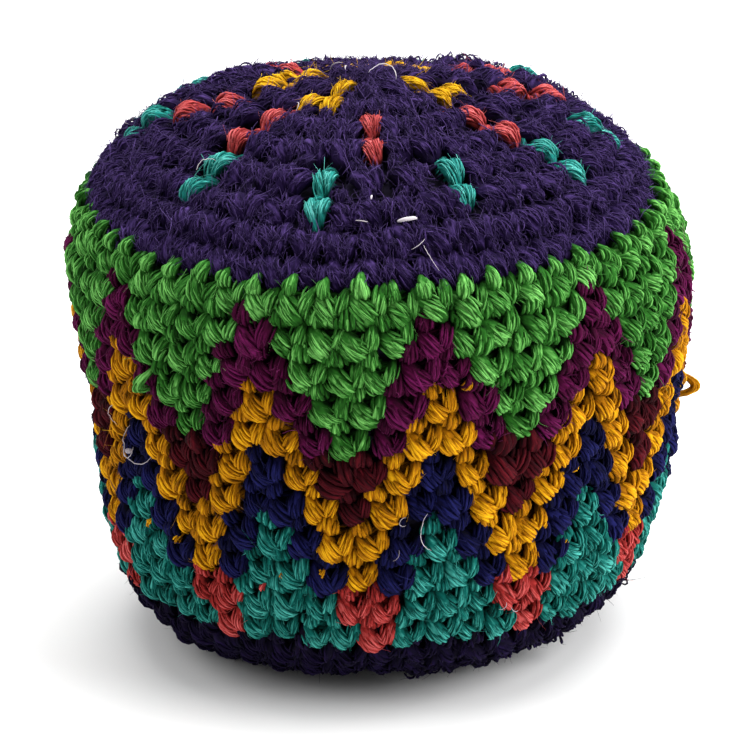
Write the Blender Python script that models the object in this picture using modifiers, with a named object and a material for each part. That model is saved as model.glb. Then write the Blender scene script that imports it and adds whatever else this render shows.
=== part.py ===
"""A crocheted footbag: a stuffed yarn drum worked in rounds, in metres, +Z up.

The cover is one outline turned about Z. It is worked in rounds of equal height: a base disc,
a wall whose rounds follow a stitch chart, and a crown disc with flecks of three yarns. Each yarn
of the wall is one solid: where its patches lie apart, they hang on the strand of that yarn that
is carried round behind the others, as in the real cover. The footbag stands on the middle of its
base disc, with the origin at the centre of that flat face.
"""

import math

import bmesh
import bpy
from mathutils import Vector
from mathutils.geometry import interpolate_bezier

# Driving sizes
RADIUS = 0.030
HEIGHT = 0.0552
COVER_THICKNESS = 0.0026
STRAND_DIAMETER = 0.0008

# Clearances: between two neighbouring yarns, and round a carried strand and the pellets
SEAM = 0.0003
STRAND_CLEARANCE = 0.0004

# Half of the outline, from the middle of the base to the middle of the crown, as shares of
# the radius and of the height. The first stretch is the flat that the footbag stands on.
OUTLINE_SHARES = (
    (0.0, 0.0),
    (0.50, 0.0),
    (0.775, 0.065),
    (0.905, 0.217),
    (0.945, 0.42),
    (1.0, 0.64),
    (0.957, 0.76),
    (0.82, 0.853),
    (0.50, 0.943),
    (0.0, 1.0),
)
OUTLINE_STEPS = 24

# Rounds of crochet, all of one height, and the facets of each zone round the axis
CROWN_ROUNDS = 9
BASE_ROUNDS = 8
CROWN_COLUMNS = 72
BASE_COLUMNS = 36
FILL_COLUMNS = 24
FILL_RINGS = 10

# The wall's stitch chart, one repeat wide, from the crown down. Every second round is moved
# on by half a stitch, as each stitch stands between two of the round before.
WALL_CHART = (
    "ggggg",
    "pgggg",
    "pgggp",
    "ypggp",
    "ypgpy",
    "nyrry",
    "nyryn",
    "tnyyn",
    "tnynt",
    "ttcct",
    "ttctt",
)
WALL_REPEATS = 11
WALL_STITCHES = WALL_REPEATS * len(WALL_CHART[0])
HALVES_A_STITCH = 2
# Turn of the first peak from the front, which faces -Y, towards +X
WALL_TURN = math.radians(10.9)

# Wall yarns: object name, letter in the chart, colour, the round whose patches lift the
# carried strand, and the stitch of the repeat that the patch is centred on. A yarn that runs
# right round without a break needs no strand.
WALL_YARNS = (
    ("green_band", "g", "green", None, None),
    ("plum_chevrons", "p", "plum", 2, 0.0),
    ("maroon_darts", "r", "maroon", 5, 2.5),
    ("gold_zigzag", "y", "gold", None, None),
    ("navy_chevrons", "n", "navy", 6, 0.0),
    ("teal_peaks", "t", "teal", 8, 0.0),
    ("coral_darts", "c", "coral", 9, 2.5),
)
# Half the stretch over which a strand lifts into its patch, in stitches
WALL_LIFT_STITCHES = 0.85

# Crown flecks: colour, azimuths of the flecks in degrees, the two rounds from the middle that
# they cover, and their width in stitches on each
CROWN_FLECKS = (
    ("gold", (-100, -40, 80, 140, 200), (2, 3), (1, 2)),
    ("coral", (-90, -55, 0, 55, 100, 150, 210), (4, 5), (1, 1)),
    ("teal", (-90, -50, -15, 25, 60, 95, 130, 165, 200, 235), (6, 7), (1, 1)),
)
# Each crown round has this many stitches more than the one inside it
CROWN_INCREASE = 6

# Yarn colours as linear red, green and blue
COLOURS = {
    "purple": (0.030, 0.014, 0.088),
    "green": (0.062, 0.292, 0.044),
    "plum": (0.147, 0.006, 0.107),
    "maroon": (0.095, 0.004, 0.016),
    "gold": (0.745, 0.319, 0.008),
    "navy": (0.009, 0.008, 0.115),
    "teal": (0.013, 0.287, 0.188),
    "coral": (0.672, 0.062, 0.052),
    "pellet": (0.604, 0.584, 0.527),
}
YARN_ROUGHNESS = 0.92
PELLET_ROUGHNESS = 0.55

SMOOTH_ANGLE = math.radians(40)
MERGE_DISTANCE = 0.000005


def clear_scene():
    for item in list(bpy.data.objects):
        bpy.data.objects.remove(item)


def new_collection(name):
    group = bpy.data.collections.new(name)
    bpy.context.scene.collection.children.link(group)
    return group


def make_material(colour, roughness):
    material = bpy.data.materials.new(colour)
    material.use_nodes = True
    shader = material.node_tree.nodes["Principled BSDF"]
    shader.inputs["Base Color"].default_value = (*COLOURS[colour], 1.0)
    shader.inputs["Roughness"].default_value = roughness
    shader.inputs["Metallic"].default_value = 0.0
    return material


class Outline:
    """The turned outline, measured along its length from the middle of the base."""

    def __init__(self):
        self.points = self.trace()
        self.lengths = [0.0]
        for first, second in zip(self.points, self.points[1:]):
            self.lengths.append(self.lengths[-1] + (second - first).length)
        self.length = self.lengths[-1]
        self.rounds = BASE_ROUNDS + len(WALL_CHART) + CROWN_ROUNDS
        self.round_height = self.length / self.rounds

    def trace(self):
        """Run a smooth curve through the outline's points, after its straight flat."""
        knots = [Vector((r * RADIUS, h * HEIGHT)) for r, h in OUTLINE_SHARES]
        flat, bend = knots[:2], knots[1:]
        before = Vector((flat[1].x * 2 - bend[1].x, bend[1].y))
        after = Vector((-bend[-2].x, bend[-2].y))
        run = [before] + bend + [after]
        step = (flat[1] - flat[0]) / OUTLINE_STEPS
        points = [flat[0] + step * i for i in range(OUTLINE_STEPS)]
        for a, b, c, d in zip(run, run[1:], run[2:], run[3:]):
            handle_out = b + (c - a) / 6
            handle_in = c - (d - b) / 6
            points += interpolate_bezier(b, handle_out, handle_in, c, OUTLINE_STEPS)[:-1]
        return points + [bend[-1]]

    def spot(self, arc):
        """Return the outline's point and outward normal at a length along it."""
        arc = min(max(arc, 0.0), self.length)
        last = len(self.points) - 2
        index = min(next(i for i, end in enumerate(self.lengths[1:]) if end >= arc), last)
        first, second = self.points[index], self.points[index + 1]
        along = (arc - self.lengths[index]) / (self.lengths[index + 1] - self.lengths[index])
        before = self.points[max(index - 1, 0)]
        after = self.points[min(index + 2, last + 1)]
        tangent = (second - before).lerp(after - first, along)
        if arc in (0.0, self.length):
            tangent.y = 0.0
        normal = Vector((tangent.y, -tangent.x)).normalized()
        return first.lerp(second, along), normal

    def place(self, azimuth, arc, depth):
        """Return the point at an azimuth, a length along the outline and a depth under it."""
        spot, normal = self.spot(arc)
        sunk = spot - normal * depth
        return Vector((sunk.x * math.sin(azimuth), -sunk.x * math.cos(azimuth), sunk.y))


def turn_between(first, second):
    """Return the smallest turn from one azimuth to another."""
    return (second - first + math.pi) % math.tau - math.pi


def azimuth_of(point):
    return math.atan2(point.x, -point.y)


def plain_tube(outline, columns, turn, first_round, rounds):
    """Make a plain tube with a facet for each column and round; its height is arc length."""
    tube = bmesh.new()
    start = Vector((math.sin(turn) * RADIUS, -math.cos(turn) * RADIUS, 0.0))
    line = []
    for i in range(rounds + 1):
        start.z = (first_round + i) * outline.round_height
        line.append(tube.verts.new(start))
    edges = [tube.edges.new(pair) for pair in zip(line, line[1:])]
    bmesh.ops.spin(
        tube,
        geom=line + edges,
        cent=(0, 0, 0),
        axis=(0, 0, 1),
        dvec=(0, 0, 0),
        angle=math.tau,
        steps=columns,
        use_merge=True,
    )
    return tube


def close_end(tube, arc, slack):
    """Draw the end of a tube together, for a disc's middle."""
    end = [v for v in tube.verts if abs(v.co.z - arc) < slack]
    bmesh.ops.pointmerge(tube, verts=end, merge_co=(0, 0, arc))


def keep_cells(tube, wanted):
    """Keep the facets that belong to one yarn."""
    others = [f for f in tube.faces if not wanted(f.calc_center_median())]
    bmesh.ops.delete(tube, geom=others, context="FACES")


def join_facets(tube, columns, turn):
    """Join every two facets of a round where no patch ends on the line between them."""
    column = math.tau / columns
    between = []
    for edge in tube.edges:
        first, second = edge.verts
        line = round((azimuth_of(first.co + second.co) - turn) / column)
        upright = abs(first.co.z - second.co.z) > SEAM
        if upright and line % 2 and len(edge.link_faces) == 2:
            between.append(edge)
    bmesh.ops.dissolve_edges(tube, edges=between, use_verts=True)


def cut_seam(tube):
    """Draw every edge of a yarn's patches in by half the seam."""
    rim = bmesh.ops.inset_region(
        tube,
        faces=tube.faces[:],
        use_boundary=True,
        use_even_offset=True,
        thickness=SEAM / 2,
    )
    bmesh.ops.delete(tube, geom=rim["faces"], context="FACES")


def settle(tube, outline, columns, turn):
    """Thicken the tube's patches inwards and draw them to the outline.

    A seam keeps its width: the turn of a cut edge from its column's line is
    widened where the outline is narrower than the tube.
    """
    extruded = bmesh.ops.extrude_face_region(tube, geom=tube.faces[:], use_keep_orig=True)
    inner = {v for v in extruded["geom"] if isinstance(v, bmesh.types.BMVert)}
    column = math.tau / columns
    for vertex in tube.verts:
        arc = vertex.co.z
        azimuth = azimuth_of(vertex.co)
        line = turn + round((azimuth - turn) / column) * column
        radius = max(outline.spot(arc)[0].x, outline.round_height)
        azimuth = line + (azimuth - line) * RADIUS / radius
        depth = COVER_THICKNESS if vertex in inner else 0.0
        vertex.co = outline.place(azimuth, arc, depth)
    bmesh.ops.recalc_face_normals(tube, faces=tube.faces)


def finish_object(name, mesh, material, group):
    item = bpy.data.objects.new(name, mesh)
    mesh.shade_smooth()
    mesh.set_sharp_from_angle(angle=SMOOTH_ANGLE)
    mesh.materials.append(material)
    group.objects.link(item)
    return item


def to_object(name, tube, material, group):
    mesh = bpy.data.meshes.new(name)
    tube.to_mesh(mesh)
    tube.free()
    return finish_object(name, mesh, material, group)


def chart_letter(outline, point):
    """Read the wall's chart at a point of the tube."""
    row = math.floor(point.z / outline.round_height) - BASE_ROUNDS
    row = len(WALL_CHART) - 1 - row
    place = (azimuth_of(point) - WALL_TURN) / math.tau * WALL_STITCHES
    shift = 0.5 if row % 2 else 0.0
    letters = WALL_CHART[row]
    return letters[math.floor(place + shift) % len(letters)]


def make_wall_yarn(outline, name, letter, material, group):
    columns = WALL_STITCHES * HALVES_A_STITCH
    tube = plain_tube(outline, columns, WALL_TURN, BASE_ROUNDS, len(WALL_CHART))
    keep_cells(tube, lambda point: chart_letter(outline, point) == letter)
    join_facets(tube, columns, WALL_TURN)
    cut_seam(tube)
    settle(tube, outline, columns, WALL_TURN)
    return to_object(name, tube, material, group)


def fleck_name(colour, number):
    return f"crown_{colour}_fleck_{number}"


def fleck_at(outline, point):
    """Return the name of the crown fleck that covers a point of the tube, if one does."""
    level = outline.rounds - math.floor(point.z / outline.round_height)
    column = math.tau / CROWN_COLUMNS
    for colour, azimuths, levels, widths in CROWN_FLECKS:
        if level not in levels:
            continue
        width = widths[levels.index(level)] * math.tau / (CROWN_INCREASE * level)
        reach = max(math.floor(width / column / 2 + 0.5), 1) * column
        for number, azimuth in enumerate(azimuths, start=1):
            middle = round(math.radians(azimuth) / column) * column
            if abs(turn_between(middle, azimuth_of(point))) < reach:
                return fleck_name(colour, number)
    return None


def make_crown_piece(outline, name, wanted, material, group):
    first = BASE_ROUNDS + len(WALL_CHART)
    tube = plain_tube(outline, CROWN_COLUMNS, 0.0, first, CROWN_ROUNDS)
    close_end(tube, outline.length, outline.round_height / 2)
    keep_cells(tube, lambda point: fleck_at(outline, point) == wanted)
    join_facets(tube, CROWN_COLUMNS, 0.0)
    cut_seam(tube)
    settle(tube, outline, CROWN_COLUMNS, 0.0)
    return to_object(name, tube, material, group)


def make_base(outline, material, group):
    tube = plain_tube(outline, BASE_COLUMNS, 0.0, 0, BASE_ROUNDS)
    close_end(tube, 0.0, outline.round_height / 2)
    cut_seam(tube)
    settle(tube, outline, BASE_COLUMNS, 0.0)
    return to_object("base_disc", tube, material, group)


def strand_route(outline, row, stitch):
    """Route a carried strand round the cover: up into each of its patches, and behind the rest."""
    run_depth = COVER_THICKNESS + STRAND_CLEARANCE + STRAND_DIAMETER / 2
    arc = (BASE_ROUNDS + len(WALL_CHART) - row - 0.5) * outline.round_height
    pitch = math.tau / WALL_STITCHES
    repeat = pitch * len(WALL_CHART[0])
    lift = WALL_LIFT_STITCHES * pitch
    route = []
    for i in range(WALL_REPEATS):
        azimuth = WALL_TURN + stitch * pitch + i * repeat
        route.append(outline.place(azimuth, arc, COVER_THICKNESS / 2))
        for turn in (lift, repeat / 2, repeat - lift):
            route.append(outline.place(azimuth + turn, arc, run_depth))
    return route


def strand_mesh(name, route, cutters):
    """Sweep a closed strand along its route and return it as a hidden mesh object."""
    curve = bpy.data.curves.new(name, "CURVE")
    curve.dimensions = "3D"
    curve.bevel_depth = STRAND_DIAMETER / 2
    curve.bevel_resolution = 0
    spline = curve.splines.new("POLY")
    spline.points.add(len(route) - 1)
    spline.use_cyclic_u = True
    for point, spot in zip(spline.points, route):
        point.co = (*spot, 1.0)
    wire = bpy.data.objects.new(name + "_curve", curve)
    cutters.objects.link(wire)
    bpy.context.view_layer.update()
    evaluated = wire.evaluated_get(bpy.context.evaluated_depsgraph_get())
    strand = bpy.data.objects.new(name, bpy.data.meshes.new_from_object(evaluated))
    strand.matrix_world = wire.matrix_world
    strand.hide_render = True
    strand.display_type = "WIRE"
    cutters.objects.link(strand)
    bpy.data.objects.remove(wire)
    return strand


def carry_strand(outline, piece, row, stitch, cutters):
    """Join a yarn's patches by the strand that is carried behind the other yarns."""
    union = piece.modifiers.new("carried strand", "BOOLEAN")
    union.operation = "UNION"
    union.solver = "EXACT"
    route = strand_route(outline, row, stitch)
    union.object = strand_mesh(piece.name + "_strand", route, cutters)


def make_fill(outline, material, group):
    """Turn the mass of pellets that the cover holds."""
    depth = COVER_THICKNESS + STRAND_CLEARANCE + STRAND_DIAMETER + STRAND_CLEARANCE
    arcs = [outline.length * (1 - i / FILL_RINGS) for i in range(FILL_RINGS + 1)]
    places = [outline.spot(arc) for arc in arcs]
    sunk = [spot - normal * depth for spot, normal in places]
    mesh = bpy.data.meshes.new("pellet_fill")
    verts = [(point.x, 0.0, point.y) for point in sunk]
    mesh.from_pydata(verts, [(i, i + 1) for i in range(FILL_RINGS)], [])
    item = finish_object("pellet_fill", mesh, material, group)
    turned = item.modifiers.new("turned", "SCREW")
    turned.axis = "Z"
    turned.angle = math.tau
    turned.steps = FILL_COLUMNS
    turned.render_steps = FILL_COLUMNS
    turned.use_merge_vertices = True
    turned.merge_threshold = MERGE_DISTANCE
    turned.use_smooth_shade = True
    return item


def build():
    clear_scene()
    parts = new_collection("footbag")
    cutters = new_collection("footbag_strands")
    yarns = {name: make_material(name, YARN_ROUGHNESS) for name in COLOURS if name != "pellet"}
    outline = Outline()
    for name, letter, colour, row, stitch in WALL_YARNS:
        piece = make_wall_yarn(outline, name, letter, yarns[colour], parts)
        if row is not None:
            carry_strand(outline, piece, row, stitch, cutters)
    make_crown_piece(outline, "crown_disc", None, yarns["purple"], parts)
    for colour, azimuths, *_ in CROWN_FLECKS:
        for number in range(1, len(azimuths) + 1):
            name = fleck_name(colour, number)
            make_crown_piece(outline, name, name, yarns[colour], parts)
    make_base(outline, yarns["purple"], parts)
    make_fill(outline, make_material("pellet", PELLET_ROUGHNESS), parts)


build()
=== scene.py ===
"""The looks of a crocheted footbag, stitch by stitch, in metres, +Z up.

Every stitch of the cover is built as the yarn runs in it: a fat left leg, a thin right leg, the
top loop that pokes up between the stitches of the next round, and the yarn that is carried along
inside. The rounds, the outline and the chart are those of the solids. Each yarn is a piece of its
own, or several rings where it is large, and each crown fleck is a piece too.
"""

import math

import bpy
import numpy as np
from mathutils import Color, Matrix, Vector
from mathutils.geometry import interpolate_bezier


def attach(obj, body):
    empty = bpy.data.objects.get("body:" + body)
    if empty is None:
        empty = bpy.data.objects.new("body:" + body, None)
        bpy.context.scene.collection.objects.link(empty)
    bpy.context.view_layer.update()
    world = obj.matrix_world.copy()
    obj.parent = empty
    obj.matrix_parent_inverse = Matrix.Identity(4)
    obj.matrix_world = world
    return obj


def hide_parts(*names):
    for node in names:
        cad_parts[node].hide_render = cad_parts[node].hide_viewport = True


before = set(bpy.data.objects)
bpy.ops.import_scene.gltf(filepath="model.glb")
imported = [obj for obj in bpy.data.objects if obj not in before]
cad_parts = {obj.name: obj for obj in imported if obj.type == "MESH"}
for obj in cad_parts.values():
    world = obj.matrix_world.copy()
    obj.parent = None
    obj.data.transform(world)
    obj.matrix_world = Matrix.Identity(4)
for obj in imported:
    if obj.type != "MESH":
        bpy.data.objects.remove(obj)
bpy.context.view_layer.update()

# Driving sizes and the outline, as the solids have them
RADIUS = 0.030
HEIGHT = 0.0552
OUTLINE_SHARES = (
    (0.0, 0.0),
    (0.50, 0.0),
    (0.775, 0.065),
    (0.905, 0.217),
    (0.945, 0.42),
    (1.0, 0.64),
    (0.957, 0.76),
    (0.82, 0.853),
    (0.50, 0.943),
    (0.0, 1.0),
)
OUTLINE_STEPS = 24
# A handle of the curve is this part of the way between the knots on either side of its own
HANDLE_PARTS = 6

# The wall's stitch chart, one repeat wide, from the crown down
WALL_CHART = (
    "ggggg",
    "pgggg",
    "pgggp",
    "ypggp",
    "ypgpy",
    "nyrry",
    "nyryn",
    "tnyyn",
    "tnynt",
    "ttcct",
    "ttctt",
)
WALL_REPEATS = 11
WALL_STITCHES = WALL_REPEATS * len(WALL_CHART[0])
WALL_TURN = math.radians(10.9)
# How far each round of the wall has drifted to the right of the chart's place, in stitches
WALL_DRIFT = (0.0, -0.14, -0.07, 0.0, 0.0, 0.02, 0.05, 0.02, 0.15, 0.40, 0.70)
WALL_PIECES = {
    "g": ("green_band", "green"),
    "p": ("plum_chevrons", "plum"),
    "r": ("maroon_darts", "maroon"),
    "y": ("gold_zigzag", "gold"),
    "n": ("navy_chevrons", "navy"),
    "t": ("teal_peaks", "teal"),
    "c": ("coral_darts", "coral"),
}

# Rounds of the crown and the base, and the stitches that each has more than the one inside it
CROWN_ROUNDS = 9
BASE_ROUNDS = 8
DISC_INCREASE = 6
ROUNDS = BASE_ROUNDS + len(WALL_CHART) + CROWN_ROUNDS

# The first crown round stands this many stitches to the right of the wall's last
CROWN_SHIFT = 0.40

# Crown flecks: the two rounds from the middle, the stitches on each, and each fleck's azimuth in
# degrees and how far the rounds are drawn outwards there, in rounds
CROWN_FLECKS = {
    "gold": ((2, 3), (1, 2), ((-120, 0.8), (-43, -0.5), (71, -0.4), (155, 0.0), (193, 0.9))),
    "coral": (
        (4, 5),
        (1, 1),
        ((-97, 0.7), (-56, -0.15), (-1, -0.7), (56, -0.1), (104, 1.0), (132, 0.5), (216, 0.9)),
    ),
    "teal": (
        (6, 7),
        (1, 1),
        (
            *((-104, 1.0), (-52, 0.0), (-14.5, 0.0), (24.5, -0.35), (60, 0.1)),
            *((93, 0.7), (130, 0.3), (165, 0.0), (200, 0.0), (235, 0.4)),
        ),
    ),
}

# One stitch, in stitch units: across, up towards the crown, and out from the cover. Its yarn
# shows as fans of plies. A fan has its middle, the angle that its plies run at and how far that
# opens from the first ply to the last, in degrees, its length and width, how high it bulges, how
# much lower its sides lie, how far its ends dive, how many plies an even yarn has and how many
# rings a ply has, and whether it is in full view, with a core under its plies and hairs on them.
LEFT_LEG = dict(
    middle=(-0.10, -0.06), angle=-52, splay=8, length=1.02, width=0.56, bulge=0.25,
    side_drop=0.62, dive=0.38, plies=5, rings=7, core=True,
)
RIGHT_LEG = dict(
    middle=(0.31, 0.12), angle=71, splay=8, length=0.92, width=0.36, bulge=0.17,
    side_drop=0.55, dive=0.36, plies=4, rings=7, core=True,
)
TOP_LOOP = dict(
    middle=(-0.22, 0.62), angle=84, splay=-10, length=0.76, width=0.44, bulge=0.04,
    side_drop=0.50, dive=0.30, plies=3, rings=6, core=True,
)
# The yarn that is carried along inside the round, and shows in its gaps
CARRIED = dict(
    middle=(0.0, 0.12), angle=6, splay=0, length=1.2, width=0.64, bulge=-0.29,
    side_drop=0.50, dive=0.25, plies=3, rings=5, core=False,
)
WALL_STITCH = (LEFT_LEG, RIGHT_LEG, TOP_LOOP, CARRIED)
# Where the wall meets the crown, its top loops stand out, and the next round is set back
EDGE_LOOP = dict(TOP_LOOP, middle=(-0.18, 0.47), length=0.62, width=0.34, bulge=0.26, splay=-12)
EDGE_STITCH = (LEFT_LEG, RIGHT_LEG, EDGE_LOOP, CARRIED)
EDGE_SET_BACK = 0.10
# The crown's rounds are rounder ridges, and their legs stand more upright
CROWN_RIDGE = {"dive": 0.40, "side_drop": 0.30}
CROWN_CARRIED = dict(CARRIED, middle=(0.0, 0.16), length=1.25, width=0.80, bulge=-0.15, plies=4)
CROWN_STITCH = (
    dict(LEFT_LEG, middle=(-0.16, -0.02), angle=-64, width=0.58, bulge=0.21, **CROWN_RIDGE),
    dict(RIGHT_LEG, middle=(0.31, 0.04), angle=76, width=0.46, bulge=0.18, **CROWN_RIDGE),
    dict(TOP_LOOP, bulge=0.0),
    CROWN_CARRIED,
)
# A fleck's stitches are narrowed by their fuzzy neighbours, which hide their top loops
FLECK_STITCH = (
    dict(CROWN_STITCH[0], width=0.44),
    dict(CROWN_STITCH[1], width=0.38),
    CROWN_CARRIED,
)
FLECK_WIDTH_SHARES = {"pale_gold": 0.70, "pale_coral": 0.78, "pale_teal": 0.62}
# A short bit of carried yarn that shows between two stitches, and a loop that has been pulled out
SPECK = dict(TOP_LOOP, middle=(0.0, 0.0), angle=50, length=0.42, width=0.12, bulge=0.24, plies=2)
LOOSE_LOOP = dict(SPECK, angle=70, length=0.80, width=0.22, bulge=0.72, dive=0.95, plies=3, rings=9)
# Their yarn, azimuth in degrees, and round
SPECKS = (
    ("gold", -52.8, 11.0),
    ("gold", -44.2, 10.9),
    ("gold", -19.5, 10.6),
    ("gold", -11.8, 10.7),
    ("gold", 16.2, 16.2),
    ("gold", 40.0, 13.0),
    ("gold", 38.5, 10.9),
    ("gold", 33.0, 11.6),
    ("coral", -24.2, 10.1),
    ("gold", 150.0, 10.8),
    ("gold", 172.0, 16.1),
    ("coral", 205.0, 10.1),
    ("gold", 228.0, 11.4),
)
LOOSE_LOOPS = (("gold", 84.0, 13.2), ("green", -46.0, 15.6))
# A knot at the end of the crown's yarn
KNOT = dict(SPECK, angle=20, length=0.36, width=0.28, bulge=0.50, side_drop=0.3, dive=0.14, plies=5)
KNOTS = (("purple", 128.0, 24.2),)
# A ply: how much shorter and lower it is at the sides of its fan, how far it bows in stitch units,
# how it tapers, how far its ends dip, its half thickness as a share of the gap between plies, and
# the power that the dive of a fan's ends goes by
SIDE_SHORTER_SHARE = 0.22
SIDE_DROP_SHARE = 0.25
PLY_BOW = 0.03
PLY_TAPER_SHARE = 0.40
PLY_DIP = 0.05
PLY_THICK_SHARE = 0.78
PLY_SIDES = 6
DIVE_POWER = 2.4
# The core that the plies lie on: its half thickness as a share of the fan's width, how it tapers,
# and how far the plies' middles lie over its top, in stitch units
CORE_THICK_SHARE = 0.52
CORE_TAPER_SHARE = 0.45
CORE_SHOW = 0.02
CORE_SIDES = 8
# The part of a turn from a ring's first point, at the underside of its strand, to the strand's side
UNDERSIDE_TURN_SHARE = 0.25
# Added to a length that something is divided by, since it can be nothing
NO_LENGTH = 1e-12
# How the plies of an even yarn differ, how much more a ragged yarn's do, and how much thinner
# those are
PLY_TURN = math.radians(4)
PLY_SHIFT = 0.014
PLY_SWELL_SHARE = 0.16
PLY_SLIDE_SHARE = 0.04
PLY_STRETCH_SHARE = 0.07
RAGGED_MORE_SHARE = 2.2
RAGGED_THINNER_SHARE = 0.46
# Where plies show short: how many more there are, how much shorter and fatter, how far they are
# scattered along the fan, how much they slant, in degrees, and how many rings they do without
PLIED_MORE_SHARE = 1.4
PLIED_SHORTER_SHARE = 0.46
PLIED_FATTER_SHARE = 0.3
PLIED_SCATTER_SHARE = 0.46
PLIED_SLANT = 7
PLIED_FEWER_RINGS = 2
FEWEST_RINGS = 5
# How far the lower end of each stitch stands out over the round below
STITCH_LEAN = math.radians(7)
# How deep the middle of the yarn lies under the outline, in stitch units
COVER_SINK = 0.34
# Where the full bag swells or is pressed in: the azimuth of the middle of the place in degrees and
# its height, how far out it goes there, in metres, and its reach in degrees and in height. The
# heights are shares of the whole.
LUMPS = (
    (-90, 0.56, -0.0006, 60, 0.36),
    (-118, 0.87, 0.0009, 42, 0.10),
    (95, 0.80, -0.0005, 35, 0.07),
    (90, 0.42, 0.0011, 35, 0.20),
    (95, 0.60, 0.0003, 35, 0.07),
    (130, 0.92, 0.0013, 45, 0.05),
    (-140, 0.92, 0.0011, 45, 0.05),
    (180, 0.95, -0.0013, 65, 0.06),
    (-58, 0.06, 0.0006, 34, 0.10),
    (0, 0.03, -0.0005, 30, 0.08),
)
# Inside this radius the lumps fade out towards the middle
LUMP_FADE = 0.25 * RADIUS

# How much one stitch differs from the next, in stitch units and degrees
STITCH_SHIFT = 0.045
STITCH_TURN = math.radians(7)
STITCH_SWELL_SHARE = 0.07

# Yarns: the body colour and the colour of its lit fibres, a painted highlight, both as screen values,
# how far its plies stray, how short they show as they wind round the yarn, and the loose hairs on each
# fan of a stitch and their thickness. The crown's flecks take lighter copies of the gold, coral and
# teal, painted light where the light falls on the crown, and the base takes a darker copy of the
# purple, painted shade where the light falls least.
YARNS = {
    "purple": ((26, 12, 50), (80, 59, 117), 1.0, 1.25, 56, 0.000036),
    "painted_shade_purple": ((13, 6, 31), (31, 18, 59), 0.8, 0.8, 3, 0.000030),
    "green": ((38, 98, 29), (120, 192, 98), 0.25, 0.8, 4, 0.000026),
    "plum": ((60, 2, 38), (106, 22, 80), 0.5, 0.6, 12, 0.000045),
    "maroon": ((46, 2, 10), (86, 14, 24), 0.2, 0.3, 7, 0.000035),
    "gold": ((162, 102, 2), (232, 172, 20), 0.15, 0.6, 3, 0.000026),
    "navy": ((6, 6, 44), (28, 30, 88), 0.35, 0.6, 9, 0.000040),
    "teal": ((6, 92, 84), (76, 174, 162), 0.25, 0.8, 4, 0.000026),
    "coral": ((148, 38, 36), (212, 100, 98), 0.25, 0.7, 4, 0.000026),
    "pale_gold": ((184, 131, 6), (248, 204, 44), 0.35, 0.8, 9, 0.000030),
    "pale_coral": ((164, 56, 57), (222, 120, 121), 0.35, 0.8, 9, 0.000030),
    "pale_teal": ((28, 130, 122), (112, 206, 196), 0.35, 0.8, 9, 0.000030),
}
# The share of a strand's tone that it has in common with the other strands of its fan
FAN_TONE_SHARE = 0.5
# Loose hairs: their length in metres and how it differs, how their thickness differs, and how much
# of it is left at the root and lost on the way to the tip
HAIR_LENGTH = 0.0007
HAIR_LONGEST = 0.0016
HAIR_LENGTH_SPREAD = 0.40
HAIR_THICKNESS_SPREAD = 0.5
HAIR_ROOT_SHARE = 0.6
HAIR_TAPER_SHARE = 0.35
HAIR_POINTS = 3
HAIR_SIDES = 3
# A hair's way, in shares of its length: how far it heads out from the cover and along the ply, how
# it strays from that, and how it bends to either side and droops back
HAIR_STAND_SHARE = 0.22
HAIR_ALONG_SHARE = 0.8
HAIR_STRAY_SHARE = 0.28
HAIR_BEND_SHARE = 0.35
HAIR_MOST_BEND_SHARE = 0.8
HAIR_DROOP_SHARE = 0.9
# Painted shade by height: how high over its middle a stitch is painted fully lit, and how far under
# that it is painted fully shaded
PAINTED_LIT_TOP = 0.30
PAINTED_SHADE_SPAN = 0.55
# The margin round a strand's cell in the whole map of a piece, as a share of the cell
CELL_MARGIN_SHARE = 0.08
# The largest nodes, and the fuzz of the crown's yarn, are several rings, each a piece of its own:
# the first round of each ring but the lowest
SPLIT_ROUNDS = {
    "base_disc": (4, 6, 7),
    "green_band": (15, 17, 18),
    "gold_zigzag": (13,),
    "teal_peaks": (9,),
    "crown_disc": (20, 21, 22, 23, 25),
    "purple": (20, 21, 22, 24),
}
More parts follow.
